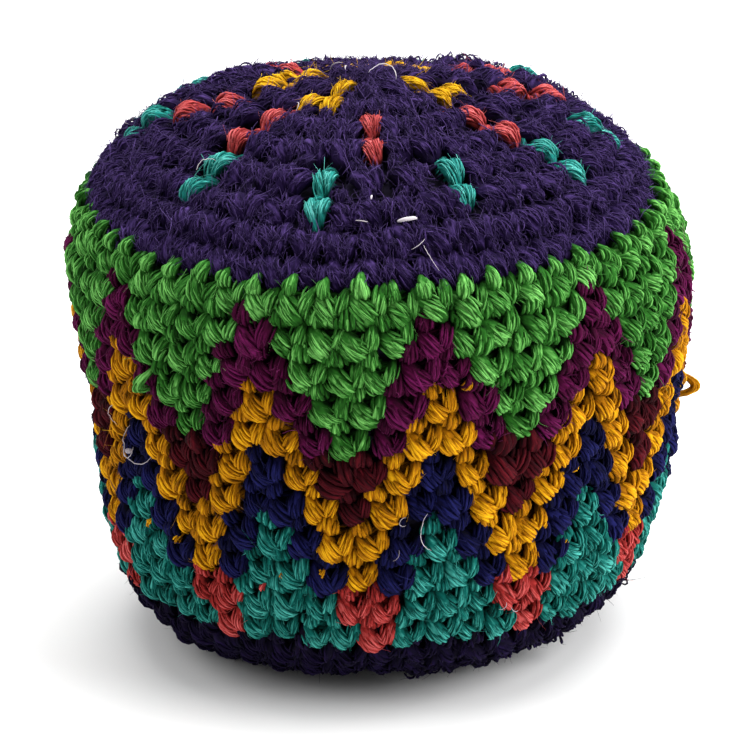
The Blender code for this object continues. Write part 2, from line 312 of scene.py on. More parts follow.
# Pale threads of lint: azimuth in degrees, round, heading in degrees, length in metres, how many
# turns they curl, thickness, and how far they stand up from the cover, from 0 to 1
LINT = (
    (-108.0, 27.0, 90, 0.0021, 0.25, 0.00018, 0.3),
    (-105.0, 27.3, 10, 0.0014, 0.10, 0.00018, 0.3),
    (40.0, 27.4, -55, 0.0044, -0.42, 0.00014, 0.2),
    (-52.5, 22.2, 70, 0.0024, -0.30, 0.00010, 0.0),
    (-53.5, 13.2, -40, 0.0070, 0.55, 0.00015, 0.0),
    (-56.0, 13.0, 10, 0.0032, 0.50, 0.00012, 0.0),
    (-55.5, 13.1, 15, 0.0009, 0.10, 0.00080, 0.0),
    (-60.0, 14.0, 80, 0.0030, -0.30, 0.00010, 0.0),
    (8.0, 12.0, -88, 0.0046, 0.28, 0.00010, 0.0),
    (4.0, 12.4, -100, 0.0018, 0.62, 0.00011, 0.0),
    (3.0, 11.4, 60, 0.0014, 0.20, 0.00010, 0.0),
    (7.5, 21.0, 5, 0.0019, 0.10, 0.00060, 0.0),
    (-2.8, 21.0, -10, 0.0012, 0.10, 0.00016, 0.0),
    (9.0, 20.2, 35, 0.0018, 0.15, 0.00010, 0.0),
    (10.8, 19.8, -70, 0.0030, 0.10, 0.00008, 0.0),
    (-0.5, 21.8, 80, 0.0005, 0.0, 0.00030, 0.0),
    (-45.0, 25.2, 110, 0.0016, 0.30, 0.00010, 0.3),
    (24.5, 9.4, 40, 0.0012, 0.30, 0.00012, 0.0),
    (27.0, 9.2, -40, 0.0012, 0.20, 0.00012, 0.0),
    (120.0, 22.6, 20, 0.0036, 0.60, 0.00012, 0.3),
    (165.0, 15.3, -60, 0.0042, -0.50, 0.00013, 0.0),
    (215.0, 11.8, 50, 0.0034, 0.70, 0.00012, 0.0),
    (250.0, 20.4, 10, 0.0030, 0.30, 0.00011, 0.0),
)
LINT_COLOURS = ((120, 110, 116), (206, 198, 204))
LINT_THIN_SHARE = 0.65
LINT_POINTS = 18
# How high the middle of a thread arches over its ends and how much that wavers, as shares of its
# length and of the arch, and how much thinner its ends are
LINT_ARCH_SHARE = 0.15
LINT_WAVER_SHARE = 1 / 12
LINT_TAPER_SHARE = 0.6
# The pieces that the specks and pulled loops belong to
LOOSE_HOMES = {
    "gold": "gold_zigzag_ring_1_yarn",
    "coral": "coral_darts_yarn",
    "green": "green_band_ring_1_yarn",
    "purple": "crown_disc_ring_5_yarn",
}
# Where the draws of the stitches, the loose bits and the lint start
STITCH_SEED = 11
LOOSE_SEED = 12
LINT_SEED = 13

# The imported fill: how deep under the outline it lies, the pitch and the rise of its pellets, and
# how many points of its skin there are round the bag for each pellet
FILL_DEPTH_ROUNDS = 0.86
PELLET_PITCH = 0.0029
PELLET_RISE = 0.0006
POINTS_A_PELLET = 4
PELLET_COLOURS = ((14, 8, 26), (34, 22, 58))
PELLET_SPECK_SCALE = 900.0
PELLET_SPECK_DETAIL = 3.0
PELLET_ROUGHNESS = 0.95

# Fibres round a ply, their turns round it and their changes along it per metre, how fine they
# divide, their relief, and how far the strands lie apart in the noise
FIBRES_A_PLY = 12.0
FIBRE_SLANT = 60.0
FIBRE_WAVE = 1100.0
FIBRE_DETAIL = 2.0
FIBRE_RELIEF = 0.00008
TONE_SPREAD = 97.0
# Painted highlight along the ridge of a ply, with the grooves between plies left painted darker, as
# cosines of the way round from its top: where it starts and is full
RIDGE_START = 0.66
RIDGE_FULL = 0.92
# How light a spot of a yarn is: what its fibres, its strand's tone, a painted highlight on the ridge
# of its ply and painted shade by its height in the stitch add to the least. A ragged yarn loses some
# of that and starts lighter.
LEAST_LIGHT = -0.265
FIBRE_LIGHT = 0.75
TONE_LIGHT = 0.24
PAINTED_RIDGE_HIGHLIGHT = 0.12
PAINTED_HEIGHT_SHADE = 0.26
RAGGED_LEAST_GAIN = 0.11
RAGGED_TONE_LOSS = 0.10
RAGGED_RIDGE_LOSS = 0.06
# The light at which a yarn has its shade, its body colour and its lit colour, and its shade as a share
# of the body colour. The shade is painted shade and the lit colour a painted highlight. The random
# fibres and tone reach them too, as well as the ridges and deep spots.
YARN_STOPS = (0.24, 0.50, 0.74)
SHADE_SHARE = 0.16
# The finish of a yarn, with its sheen and what a ragged yarn has more of it, and of a hair
YARN_ROUGHNESS = (0.70, 0.95)
YARN_GLOSS = 0.07
YARN_SHEEN = 0.02
RAGGED_SHEEN_GAIN = 0.14
SHEEN_ROUGHNESS = 0.50
HAIR_ROUGHNESS = 0.8
HAIR_GLOSS = 0.2
# Where a speckled material turns from its first colour to its second
SPECKLE_STOPS = (0.3, 0.7)

# The camera, from the photograph: it looks down at a spot on the footbag's axis, which lies some
# pixels to the right of the middle of the picture and above it
CAMERA_ELEVATION = math.radians(21.72)
CAMERA_DISTANCE = 13 * RADIUS
CAMERA_AIM = 0.851 * RADIUS
CAMERA_ROLL = math.radians(-1.21)
CAMERA_CLIP = 0.1 * RADIUS
CAMERA_LENS = 195.0
SENSOR_WIDTH = 36.0
IMAGE_WIDTH = 751
AIM_RIGHT_PIXELS = 1.5
AIM_UP_PIXELS = 11.9

# The studio: the floor, the soft lights with their places and powers, and the light all round
FLOOR_SIZE = 200 * RADIUS
FLOOR_GREYS = (0.86, 0.90)
FLOOR_SPECK_SCALE = 40.0
FLOOR_SPECK_DETAIL = 4.0
FLOOR_ROUGHNESS = 0.9
LIGHT_SIZE = 0.60
LIGHTS = (
    ("overhead", (0.06, 0.14, 0.48), 4.4),
    ("right", (0.57, -0.12, 0.34), 6.4),
    ("left", (-0.50, -0.02, 0.46), 2.3),
)
WORLD_STRENGTH = 0.28


class Outline:
    """The turned outline, measured along its length from the middle of the base."""

    def __init__(self):
        points = np.array([tuple(point) for point in self.trace()])
        self.radii = points[:, 0]
        self.heights = points[:, 1]
        steps = np.hypot(np.diff(self.radii), np.diff(self.heights))
        self.arcs = np.concatenate(([0.0], np.cumsum(steps)))
        self.length = self.arcs[-1]
        self.round_height = self.length / ROUNDS
        self.slopes_out = np.gradient(self.radii, self.arcs)
        self.slopes_up = np.gradient(self.heights, self.arcs)

    def trace(self):
        """Return the points of the outline: a flat base, then a curve through the other knots."""
        knots = [Vector((r * RADIUS, h * HEIGHT)) for r, h in OUTLINE_SHARES]
        flat, bend = knots[:2], knots[1:]
        before = Vector((flat[1].x * 2 - bend[1].x, bend[1].y))
        after = Vector((-bend[-2].x, bend[-2].y))
        run = [before] + bend + [after]
        step = (flat[1] - flat[0]) / OUTLINE_STEPS
        points = [flat[0] + step * i for i in range(OUTLINE_STEPS)]
        for a, b, c, d in zip(run, run[1:], run[2:], run[3:]):
            handle_out = b + (c - a) / HANDLE_PARTS
            handle_in = c - (d - b) / HANDLE_PARTS
            points += interpolate_bezier(b, handle_out, handle_in, c, OUTLINE_STEPS)[:-1]
        return points + [bend[-1]]

    def radius_at(self, arc):
        return np.interp(arc, self.arcs, self.radii)

    def axes(self, azimuth, arc):
        """Return a spot on the cover, and the directions across, up and out from there."""
        radius = self.radius_at(arc)
        height = np.interp(arc, self.arcs, self.heights)
        run = np.interp(arc, self.arcs, self.slopes_out)
        rise = np.interp(arc, self.arcs, self.slopes_up)
        run, rise = run / np.hypot(run, rise), rise / np.hypot(run, rise)
        away = np.array((math.sin(azimuth), -math.cos(azimuth), 0.0))
        across = np.array((math.cos(azimuth), math.sin(azimuth), 0.0))
        along = np.array((0.0, 0.0, 1.0))
        spot = away * radius + along * height
        out = away * rise - along * run
        fade = min(radius / LUMP_FADE, 1.0)
        spot = spot + out * self.lump_at(azimuth, height) * fade
        return spot, np.stack((across, away * run + along * rise, out))

    def lump_at(self, azimuth, height):
        """Return how far the cover stands out of the turned outline."""
        total = 0.0
        for middle, level, out, reach, rise in LUMPS:
            turn = turn_between(math.radians(middle), azimuth) / math.radians(reach)
            climb = (height - level * HEIGHT) / (rise * HEIGHT)
            total += out * math.exp(-(turn**2) - climb**2)
        return total


class Place:
    """Where a stitch stands: its spot, its size, and the directions across, up and out."""

    def __init__(self, outline, azimuth, index, drift=0.0):
        arc = (index + 0.5 - drift) * outline.round_height
        pitch = outline.radius_at(arc) * math.tau / stitches_in(math.floor(index + 0.5))
        unit = outline.round_height
        self.size = np.array((pitch, unit, min(pitch, unit)))
        self.spot, self.axes = outline.axes(azimuth, arc)

    def metres(self, local):
        """Turn points in stitch units into metres."""
        return self.spot + (local * self.size) @ self.axes

    def sink(self, depth):
        """Move the place in under the outline, in stitch units."""
        self.spot = self.spot - self.axes[2] * self.size[2] * depth


def strand_rings(centres, radii, sides):
    """Return rings round one or more strands: centres has a row of points for each strand."""
    tangents = np.gradient(centres, axis=1)
    tangents /= np.linalg.norm(tangents, axis=2, keepdims=True) + NO_LENGTH
    across = np.cross((0.0, 0.0, 1.0), tangents)
    across /= np.linalg.norm(across, axis=2, keepdims=True) + NO_LENGTH
    out = np.cross(tangents, across)
    turn = (np.arange(sides) / sides - UNDERSIDE_TURN_SHARE) * math.tau
    ring = np.cos(turn)[:, None] * across[:, :, None] + np.sin(turn)[:, None] * out[:, :, None]
    return centres[:, :, None] + radii[:, :, None, None] * ring


def fan_plies(fan, ragged, plied, chance):
    """Return the rings of a fan's plies, in stitch units."""
    plies = round(fan["plies"] * (1 + PLIED_MORE_SHARE * plied))
    side = np.linspace(-1, 1, plies)[:, None]
    spread = 1 + RAGGED_MORE_SHARE * ragged
    turn, stretch, aside, lift = chance.normal(0.0, spread, (4, plies, 1))
    slant = fan["angle"] + PLIED_SLANT * plied
    angle = np.radians(slant + fan["splay"] / 2 * side) + turn * PLY_TURN
    reach = (1 - SIDE_SHORTER_SHARE * side**2) * (1 - PLIED_SHORTER_SHARE * plied)
    reach = reach * (1 + stretch * PLY_STRETCH_SHARE)
    scatter = PLY_SLIDE_SHARE + PLIED_SCATTER_SHARE * plied
    slide = scatter * (2 * chance.permutation(plies)[:, None] + 1 - plies) / plies
    step = np.linspace(-1, 1, max(fan["rings"] - round(PLIED_FEWER_RINGS * plied), FEWEST_RINGS))
    bow = side * (fan["width"] / 2 + PLY_BOW * (1 - step**2)) + aside * PLY_SHIFT
    x, y = ply_lines(fan, angle, bow, slide, fan["length"] / 2 * reach * step)
    top = fan["bulge"] - SIDE_DROP_SHARE * fan["side_drop"] * side**2 + lift * PLY_SHIFT
    z = top - fan["dive"] * np.abs(slide + reach * step) ** DIVE_POWER - PLY_DIP * step**4
    radii = ply_radii(fan, plies, ragged, plied, step, chance)
    return strand_rings(np.stack((x, y, z), axis=-1), radii, PLY_SIDES)


def ply_lines(fan, angle, bow, slide, run):
    """Return how far across and how far up the plies of a fan are, point by point."""
    main, beside = fan_directions(fan)
    half_length = fan["length"] / 2
    headings = (np.cos(angle), np.sin(angle))
    return [
        middle + sideways * bow + lengthways * half_length * slide + heading * run
        for middle, sideways, lengthways, heading in zip(fan["middle"], beside, main, headings)
    ]


def ply_radii(fan, plies, ragged, plied, step, chance):
    """Return the half thickness of a fan's plies, point by point."""
    fullness = PLY_THICK_SHARE * fan["width"] / (plies - 1)
    fullness *= 1 + PLIED_FATTER_SHARE * plied
    fullness *= 1 - RAGGED_THINNER_SHARE * ragged
    swell = chance.lognormal(0.0, PLY_SWELL_SHARE, (plies, 1))
    return fullness * (1 - PLY_TAPER_SHARE * step**2) * swell


def fan_core(fan):
    """Return the rings of the core that a fan's plies lie on, in stitch units."""
    step = np.linspace(-1, 1, fan["rings"])
    main, _ = fan_directions(fan)
    flat = np.array(fan["middle"])[:, None] + main[:, None] * fan["length"] / 2 * step
    thick = fan["width"] * CORE_THICK_SHARE
    z = fan["bulge"] - CORE_SHOW - thick - fan["dive"] * np.abs(step) ** DIVE_POWER
    centres = np.stack((*flat, z), axis=-1)
    radii = thick * (1 - CORE_TAPER_SHARE * step**2)
    return strand_rings(centres[None], radii[None], CORE_SIDES)


def fan_directions(fan):
    """Return the directions along a fan and across it."""
    angle = math.radians(fan["angle"])
    main = np.array((math.cos(angle), math.sin(angle)))
    return main, np.array((-main[1], main[0]))


class YarnMesh:
    """Collects strands of yarn, each a grid of rings, and makes one mesh of them."""

    def __init__(self):
        self.points = []
        self.quads = []
        self.caps = []
        self.strand_maps = []
        self.cell_maps = []
        self.cap_maps = []
        self.values = []
        self.count = 0
        self.strands = 0

    def add(self, rings, tones, painted_light_levels):
        """Add strands that are closed round and capped: rings has a grid of points for each."""
        strands, ring_count, side_count = rings.shape[:3]
        index = np.arange(strands * ring_count * side_count) + self.count
        index = index.reshape(strands, ring_count, side_count)
        after = np.roll(index, -1, axis=2)
        quads = np.stack((index[:, :-1], after[:, :-1], after[:, 1:], index[:, 1:]), axis=-1)
        self.quads.append(quads.reshape(-1, 4))
        caps = np.stack((index[:, 0, ::-1], index[:, -1]), axis=1)
        self.caps.append(caps.reshape(-1, side_count))
        self.add_maps(rings)
        self.points.append(rings.reshape(-1, 3))
        tones = np.broadcast_to(np.reshape(tones, (-1, 1, 1)), index.shape)
        self.values.append(np.stack((tones.ravel(), np.ravel(painted_light_levels)), axis=-1))
        self.count += index.size
        self.strands += strands

    def add_maps(self, rings):
        """Map each strand by its length, and each to a cell of its own in the whole map."""
        strands, ring_count, side_count = rings.shape[:3]
        steps = np.linalg.norm(np.diff(rings.mean(axis=2), axis=1), axis=2)
        along = np.concatenate((np.zeros((strands, 1)), np.cumsum(steps, axis=1)), axis=1)
        around = np.arange(side_count + 1) / side_count
        level = np.linspace(0, 1, ring_count)
        corners = np.empty((strands, ring_count - 1, side_count, 4, 2))
        corners[..., (0, 3), 0] = around[:-1, None]
        corners[..., (1, 2), 0] = around[1:, None]
        cells = corners.copy()
        corners[..., (0, 1), 1] = along[:, :-1, None, None]
        corners[..., (2, 3), 1] = along[:, 1:, None, None]
        cells[..., (0, 1), 1] = level[:-1, None, None]
        cells[..., (2, 3), 1] = level[1:, None, None]
        ends = np.empty((strands, 2, side_count, 2))
        ends[:, 0, :, 0] = around[-2::-1]
        ends[:, 1, :, 0] = around[:-1]
        ends[..., 1] = np.array((0.0, 1.0))[:, None]
        numbers = np.arange(strands) + self.strands
        self.strand_maps.append(corners.reshape(-1, 2))
        self.cell_maps.append((np.repeat(numbers, cells[0, ..., 0].size), cells.reshape(-1, 2)))
        self.cap_maps.append((np.repeat(numbers, ends[0, ..., 0].size), ends.reshape(-1, 2)))

    def place_cells(self):
        """Return the whole map: the cells in rows, with a margin round each."""
        pieces = self.cell_maps + self.cap_maps
        numbers = np.concatenate([number for number, _ in pieces])
        spots = np.concatenate([spot for _, spot in pieces])
        rows = math.ceil(math.sqrt(self.strands))
        corner = np.stack((numbers % rows, numbers // rows), axis=-1)
        return (corner + CELL_MARGIN_SHARE + spots * (1 - 2 * CELL_MARGIN_SHARE)) / rows

    def make(self, name, material):
        """Make one object of the strands."""
        mesh = bpy.data.meshes.new(name)
        self.lay_faces(mesh)
        self.lay_maps(mesh)
        # The depth attribute carries each point's painted shade level, from 0 painted fully shaded to
        # 1 painted lit
        for label, values in zip(("tone", "depth"), np.concatenate(self.values).T):
            attribute = mesh.attributes.new(label, "FLOAT", "POINT")
            attribute.data.foreach_set("value", np.ascontiguousarray(values))
        mesh.materials.append(material)
        item = bpy.data.objects.new(name, mesh)
        bpy.context.scene.collection.objects.link(item)
        return item

    def lay_faces(self, mesh):
        quads = np.concatenate(self.quads)
        corners = np.concatenate([quads.ravel()] + [caps.ravel() for caps in self.caps])
        sizes = [np.full(len(quads), 4)] + [np.full(len(caps), caps.shape[1]) for caps in self.caps]
        sizes = np.concatenate(sizes)
        mesh.vertices.add(self.count)
        mesh.vertices.foreach_set("co", np.concatenate(self.points).ravel())
        mesh.loops.add(len(corners))
        mesh.loops.foreach_set("vertex_index", corners.astype(np.int32))
        mesh.polygons.add(len(sizes))
        mesh.polygons.foreach_set("loop_start", (np.cumsum(sizes) - sizes).astype(np.int32))
        mesh.update(calc_edges=True)
        mesh.polygons.foreach_set("use_smooth", np.ones(len(sizes), dtype=bool))

    def lay_maps(self, mesh):
        on_sides = np.concatenate(self.strand_maps)
        strand_map = np.zeros((len(mesh.loops), 2))
        strand_map[: len(on_sides)] = on_sides
        mesh.uv_layers.new(name="strand").uv.foreach_set("vector", strand_map.ravel())
        mesh.uv_layers.new(name="OFBake").uv.foreach_set("vector", self.place_cells().ravel())


def add_hairs(fuzz, rings, out, count, thickness, chance):
    """Lay loose hairs on a fan of plies: the thick ones hug it and the thin ones stand off."""
    roots, along = hair_roots(rings, count, chance)
    swell = chance.lognormal(0.0, HAIR_THICKNESS_SPREAD, (count, 1))
    stand = out * HAIR_STAND_SHARE / swell
    first = stand + along * HAIR_ALONG_SHARE + chance.normal(0.0, HAIR_STRAY_SHARE, (count, 3))
    bend = chance.normal(0.0, HAIR_BEND_SHARE, (count, 3))
    bend = np.clip(bend, -HAIR_MOST_BEND_SHARE, HAIR_MOST_BEND_SHARE) - stand * HAIR_DROOP_SHARE
    length = HAIR_LENGTH * chance.lognormal(0.0, HAIR_LENGTH_SPREAD, (count, 1, 1))
    length = np.minimum(length, HAIR_LONGEST)
    step = np.linspace(0, 1, HAIR_POINTS)[:, None]
    paths = roots[:, None] + length * (first[:, None] * step + bend[:, None] * step * step)
    radii = thickness * swell * (HAIR_ROOT_SHARE - HAIR_TAPER_SHARE * step[:, 0])
    hairs = strand_rings(paths, radii, HAIR_SIDES)
    hairs[..., 2] = np.maximum(hairs[..., 2], 0.0)
    fuzz.add(hairs, chance.uniform(size=count), np.ones(hairs.shape[:3]))


def hair_roots(rings, count, chance):
    """Pick spots on the upper half of a fan's plies, and a way along the ply from each."""
    plies, ring_count, sides = rings.shape[:3]
    ply = chance.integers(plies, size=count)
    ring = chance.integers(1, ring_count - 1, size=count)
    side = chance.integers(sides // 4, 3 * sides // 4 + 1, size=count)
    along = (rings[ply, ring + 1] - rings[ply, ring - 1]).mean(axis=1)
    along *= chance.choice((-1, 1), (count, 1)) / np.linalg.norm(along, axis=1, keepdims=True)
    return rings[ply, ring, side], along


def add_fan(yarn, fan, colour, place, swell, chance):
    """Add one fan of a stitch to a yarn, and return the rings of its plies in metres."""
    ragged, plied = YARNS[colour][2:4]
    plies = fan_plies(fan, ragged, plied, chance) * swell
    plies = add_strands(yarn, plies, place, chance)
    if fan["core"]:
        add_strands(yarn, fan_core(fan) * swell, place, chance)
    return plies


def add_strands(yarn, local, place, chance):
    """Add strands in stitch units to a yarn, and return their rings in metres."""
    points = place.metres(local)
    points[..., 2] = np.maximum(points[..., 2], 0.0)
    shared = chance.uniform()
    own = chance.uniform(size=len(points))
    tones = FAN_TONE_SHARE * shared + (1 - FAN_TONE_SHARE) * own
    # Painted shade on the stitch's deep spots: 1 where a spot lies high and is painted lit, 0 where it
    # lies deep
    painted_light_levels = np.clip((local[..., 2] + PAINTED_SHADE_SPAN - PAINTED_LIT_TOP) / PAINTED_SHADE_SPAN, 0.0, 1.0)
    yarn.add(points, tones, painted_light_levels)
    return points


def add_stitch(yarn, fuzz, colour, fans, place, depth, chance):
    """Add the fans of a stitch to its yarn, and their loose hairs to the yarn's fuzz."""
    *_, hairs, thickness = YARNS[colour]
    if colour in FLECK_WIDTH_SHARES:
        place.size = place.size * (FLECK_WIDTH_SHARES[colour], 1.0, 1.0)
        fans = FLECK_STITCH
    place.spot = place.metres(chance.normal(0.0, STITCH_SHIFT, 3) - (0.0, 0.0, depth))
    out = place.axes[2]
    turn = Matrix.Rotation(chance.normal(0.0, STITCH_TURN), 3, "Z")
    turn = np.array(turn @ Matrix.Rotation(-STITCH_LEAN, 3, "X"))
    place.axes = turn @ place.axes
    swell = 1 + chance.normal(0.0, STITCH_SWELL_SHARE)
    for fan in fans:
        rings = add_fan(yarn, fan, colour, place, swell, chance)
        if fan["core"]:
            add_hairs(fuzz, rings, out, hairs, thickness, chance)


def crown_drift(level, azimuth):
    """Return how far a spot of the crown is drawn outwards, in rounds, at a level from the middle."""
    levels = [0.0]
    drifts = [0.0]
    for rounds, _, flecks in CROWN_FLECKS.values():
        places, pulls = zip(*flecks)
        levels.append(sum(rounds) / 2 - 0.5)
        drifts.append(np.interp(math.degrees(azimuth), places, pulls, period=360))
    return np.interp(level, levels + [CROWN_ROUNDS - 0.5], drifts + [0.0])


def stitches_in(index):
    """Return how many stitches a round has: the first of the crown has as many as the wall."""
    if BASE_ROUNDS <= index <= BASE_ROUNDS + len(WALL_CHART):
        return WALL_STITCHES
    return DISC_INCREASE * min(index + 1, ROUNDS - index)


def round_azimuths(index):
    """Return the azimuths of the stitches of a round, counted from the middle of the base."""
    count = stitches_in(index)
    row = len(WALL_CHART) - 1 - (index - BASE_ROUNDS)
    if 0 <= row < len(WALL_CHART):
        shift = 0.5 if row % 2 == 0 and row else 0.0
        start = WALL_TURN + (shift + WALL_DRIFT[row]) * math.tau / count
    elif row == -1:
        start = WALL_TURN + CROWN_SHIFT * math.tau / count
    else:
        start = 0.0
    return start + np.arange(count) * math.tau / count


def wall_letter(index, azimuth):
    """Return the chart's letter for a stitch of the wall."""
    row = len(WALL_CHART) - 1 - (index - BASE_ROUNDS)
    letters = WALL_CHART[row]
    place = (azimuth - WALL_TURN) / math.tau * WALL_STITCHES - WALL_DRIFT[row]
    return letters[math.floor(place + (0.5 if row % 2 else 0.0)) % len(letters)]


def turn_between(first, second):
    """Return the turn from one azimuth to another, at most half a turn either way."""
    return (second - first + math.pi) % math.tau - math.pi


def fleck_at(level, azimuths):
    """Return the name, colour and azimuth of the fleck on each stitch of a round that has one."""
    found = {}
    for colour, (levels, widths, places) in CROWN_FLECKS.items():
        if level not in levels:
            continue
        width = widths[levels.index(level)]
        for number, (degrees, _) in enumerate(places, start=1):
            middle = math.radians(degrees)
            gaps = [abs(turn_between(middle, azimuth)) for azimuth in azimuths]
            for stitch in np.argsort(gaps, kind="stable")[:width]:
                found[int(stitch)] = (f"crown_{colour}_fleck_{number}", colour, middle)
    return found


def draw_to_flecks(azimuths, flecks):
    """Move the stitches of a crown round so that each fleck stands at its own azimuth."""
    spots = {}
    for stitch, (*_, middle) in flecks.items():
        spots.setdefault(middle, []).append(azimuths[stitch])
    if not spots:
        return azimuths
    middles = [a[0] + sum(turn_between(a[0], b) for b in a) / len(a) for a in spots.values()]
    moves = [turn_between(middle, place) for middle, place in zip(middles, spots)]
    return azimuths + np.interp(azimuths, middles, moves, period=math.tau)


def round_form(index):
    """Return the fans of a round's stitches, and how deep in the cover their middles lie."""
    wall_top = BASE_ROUNDS + len(WALL_CHART) - 1
    if index < wall_top:
        return WALL_STITCH, COVER_SINK
    if index == wall_top:
        return EDGE_STITCH, COVER_SINK
    return CROWN_STITCH, COVER_SINK + (EDGE_SET_BACK if index == wall_top + 1 else 0.0)


def stitch_piece(index, number, azimuth, flecks):
    """Return the node that a stitch belongs to, the yarn's colour and its slot."""
    if index < BASE_ROUNDS:
        # The base takes a darker copy of the purple, painted shade where the light falls least
        return "base_disc", "painted_shade_purple", "purple"
    if index < BASE_ROUNDS + len(WALL_CHART):
        name, colour = WALL_PIECES[wall_letter(index, azimuth)]
        return name, colour, colour
    if number in flecks:
        name, colour, _ = flecks[number]
        # A fleck takes a lighter copy of its yarn, painted light where the light falls on the crown
        return name, "pale_" + colour, colour
    return "crown_disc", "purple", "purple"


def stitch_place(outline, azimuth, index):
    """Return the place of a stitch, drawn outwards on the crown with the flecks round it."""
    return Place(outline, azimuth, index, crown_drift(ROUNDS - index - 0.5, azimuth))


def piece_name(name, index, kind):
    """Name the piece that the stitches of a round go in, for a node or for a yarn's fuzz."""
    if name in SPLIT_ROUNDS:
        ring = sum(index >= start for start in SPLIT_ROUNDS[name])
        name += f"_ring_{ring + 1}"
    return f"{name}_{kind}"


def mesh_of(pieces, name, *facts):
    """Return the mesh that the strands of a piece go in, and keep the facts of a new piece."""
    return pieces.setdefault(name, (YarnMesh(), *facts))[0]


def work_round(yarns, fuzzes, outline, index, chance):
    """Add the stitches of a round, and the crown's yarn where it is carried on behind a fleck."""
    fans, depth = round_form(index)
    azimuths = round_azimuths(index)
    flecks = fleck_at(ROUNDS - index, azimuths)
    for number, azimuth in enumerate(draw_to_flecks(azimuths, flecks)):
        node, colour, slot = stitch_piece(index, number, azimuth, flecks)
        yarn = mesh_of(yarns, piece_name(node, index, "yarn"), node, colour, slot)
        fuzz = mesh_of(fuzzes, piece_name(colour, index, "fuzz"), colour, slot)
        place = stitch_place(outline, azimuth, index)
        add_stitch(yarn, fuzz, colour, fans, place, depth, chance)
        if number in flecks:
            name = piece_name("crown_disc", index, "yarn")
            crown = mesh_of(yarns, name, "crown_disc", "purple", "purple")
            place = stitch_place(outline, azimuth, index)
            place.sink(COVER_SINK)
            add_fan(crown, CROWN_CARRIED, "purple", place, 1.0, chance)


def crochet(outline):
    """Work every round. Return the yarn of each piece with its node, colour and slot, and the fuzz."""
    chance = np.random.default_rng(STITCH_SEED)
    yarns = {}
    fuzzes = {}
    for index in range(ROUNDS):
        work_round(yarns, fuzzes, outline, index, chance)
    return yarns, fuzzes


def add_loose_bits(yarns, outline):
    """Add the specks, the pulled loops and the knot to the yarns that they belong to."""
    chance = np.random.default_rng(LOOSE_SEED)
    for fan, bits in ((SPECK, SPECKS), (LOOSE_LOOP, LOOSE_LOOPS), (KNOT, KNOTS)):
        for colour, degrees, level in bits:
            yarn, *_ = yarns[LOOSE_HOMES[colour]]
            place = Place(outline, math.radians(degrees), level - 0.5)
            place.sink(COVER_SINK)
            add_fan(yarn, fan, colour, place, 1.0, chance)


def add_lint(outline):
    """Return the mesh of the pale threads of lint that are caught in the yarn."""
    chance = np.random.default_rng(LINT_SEED)
    lint = YarnMesh()
    step = np.linspace(0, 1, LINT_POINTS)
    for degrees, level, heading, length, curl, thickness, stand in LINT:
        place = Place(outline, math.radians(degrees), level - 0.5)
        local = lint_path(step, math.radians(heading), length, curl, stand, chance)
        path = place.spot + local @ place.axes
        radii = LINT_THIN_SHARE * thickness / 2 * (1 - LINT_TAPER_SHARE * np.abs(2 * step - 1) ** 3)
        rings = strand_rings(path[None], radii[None], PLY_SIDES)
        lint.add(rings, chance.uniform(), np.ones(rings.shape[:3]))
    return lint


def lint_path(step, heading, length, curl, stand, chance):
    """Return the points of a thread of lint: across, up and out from its place, in metres."""
    angle = heading + curl * math.tau * (step - 0.5)
    steps = np.stack((np.cos(angle), np.sin(angle)), axis=-1) * length / LINT_POINTS
    flat = np.cumsum(steps, axis=0)
    flat -= flat.mean(axis=0)
    arch = LINT_ARCH_SHARE * length
    lift = arch * (np.sin(step * math.pi) - 0.5)
    lift += chance.normal(0.0, arch * LINT_WAVER_SHARE, LINT_POINTS)
    lift += stand * (flat[:, 1] - flat[:, 1].min())
    return np.column_stack((flat[:, 0], flat[:, 1] * (1 - stand), lift))


def linear(screen):
    """Turn a screen colour from 0 to 255 into linear light, with an alpha of one."""
    colour = Color([value / 255 for value in screen])
    return (*colour.from_srgb_to_scene_linear(), 1.0)


